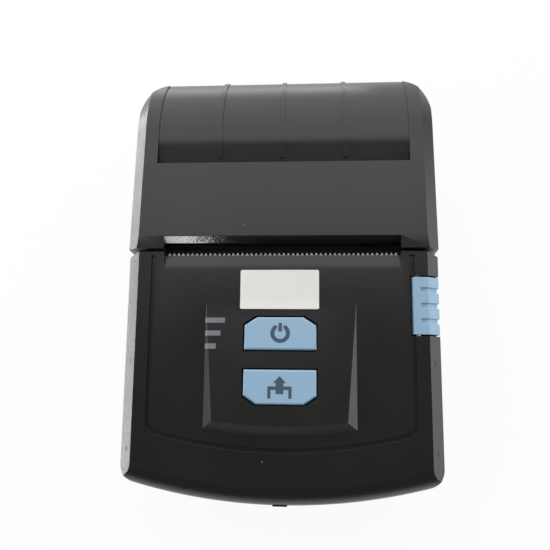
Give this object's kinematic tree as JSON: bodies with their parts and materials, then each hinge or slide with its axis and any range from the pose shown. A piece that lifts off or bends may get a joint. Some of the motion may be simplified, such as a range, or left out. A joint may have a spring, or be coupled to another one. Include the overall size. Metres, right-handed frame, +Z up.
{
  "type": "receipt printer",
  "caption": "Portable thermal receipt printer with a hinged paper-roll cover, tear bar, raised control pad with power and feed buttons, side release lever and sliding battery door.",
  "frame": {"origin": "middle of the rest plane under the rubber feet, below the middle of the case", "axes": "+X to the right, -Y to the front with the control panel, +Z up; +Y is the long axis"},
  "size_m": [0.08, 0.117, 0.045],
  "materials": {
    "black_plastic": "fine matt texture",
    "blue_plastic": "satin",
    "lens_grey": "smoky translucent",
    "label_white": "plain, no print",
    "steel": "plain",
    "frame_plastic": "glass filled",
    "head_ceramic": "thermal head substrate",
    "aluminium": "plain",
    "motor_steel": "plated can",
    "platen_rubber": "ground",
    "foot_rubber": "moulded",
    "gear_plastic": "natural acetal",
    "board_green": "solder mask",
    "component_black": "moulded",
    "led_white": "chip lamp",
    "flex_amber": "flat flexible circuit",
    "socket_steel": "plated shell",
    "battery_grey": "wrapped pack",
    "contact_brass": "plated"
  },
  "bodies": {
    "case": {"lower_case": "black_plastic", "upper_case": "black_plastic", "hinge_pins": "steel", "tear_bar": "steel", "indicator_lenses": "lens_grey", "blank_label": "label_white", "lever_pin": "steel", "mechanism_frame": "frame_plastic", "print_head": "head_ceramic", "head_heat_sink": "aluminium", "head_springs": "steel", "gear_axle": "steel", "stepper_motor": "motor_steel", "paper_well": "black_plastic", "paper_sensor": "component_black", "main_board": "board_green", "key_switches": "component_black", "status_leds": "led_white", "flex_connector": "component_black", "head_flex": "flex_amber", "charge_socket": "socket_steel", "battery_pack": "battery_grey", "battery_contacts": "contact_brass", "case_screws": "steel", "rubber_feet": "foot_rubber", "frame_screws": "steel", "board_screws": "steel", "well_screws": "steel"},
    "cover": {"paper_cover": "black_plastic", "platen_carrier": "black_plastic", "platen_bushes": "gear_plastic"},
    "platen": {"platen_roller": "platen_rubber", "platen_shaft": "steel", "platen_gear": "gear_plastic"},
    "reduction": {"reduction_gear": "gear_plastic"},
    "pinion": {"motor_pinion": "gear_plastic", "motor_shaft": "steel"},
    "power_key": {"power_button": "blue_plastic"},
    "feed_key": {"feed_button": "blue_plastic"},
    "lever": {"release_lever": "blue_plastic"},
    "door": {"battery_door": "black_plastic"}
  },
  "joints": [
    {"name": "cover_hinge", "type": "hinge", "parent": "case", "child": "cover", "pos_m": [0, 0.0556, 0.008], "axis": [-1, 0, 0], "range_deg": [0, 92]},
    {"name": "platen_spin", "type": "hinge", "parent": "cover", "child": "platen", "pos_m": [0, 0.0125, 0.036], "axis": [1, 0, 0], "continuous": true},
    {"name": "reduction_spin", "type": "hinge", "parent": "case", "child": "reduction", "pos_m": [0, 0.00804, 0.02432], "axis": [1, 0, 0], "continuous": true},
    {"name": "pinion_spin", "type": "hinge", "parent": "case", "child": "pinion", "pos_m": [0, -0.00085, 0.01975], "axis": [1, 0, 0], "continuous": true},
    {"name": "power_press", "type": "slide", "parent": "case", "child": "power_key", "axis": [0, 0, -1], "range_m": [0, 0.0006], "stiffness_N_per_m": 500, "springref_m": -0.0003},
    {"name": "feed_press", "type": "slide", "parent": "case", "child": "feed_key", "axis": [0, 0, -1], "range_m": [0, 0.0006], "stiffness_N_per_m": 500, "springref_m": -0.0003},
    {"name": "lever_lift", "type": "hinge", "parent": "case", "child": "lever", "pos_m": [0.0344, -0.01027, 0.04106], "axis": [0, -0.9976, -0.0698], "range_deg": [0, 20], "stiffness_Nm_per_rad": 0.05, "springref_deg": -5.73},
    {"name": "door_slide", "type": "slide", "parent": "case", "child": "door", "axis": [0, -1, 0], "range_m": [0, 0.015]}
  ],
  "couplings": [
    {"joint": "reduction_spin", "follows": "platen_spin", "ratio": -0.66667},
    {"joint": "pinion_spin", "follows": "platen_spin", "ratio": 2}
  ]
}
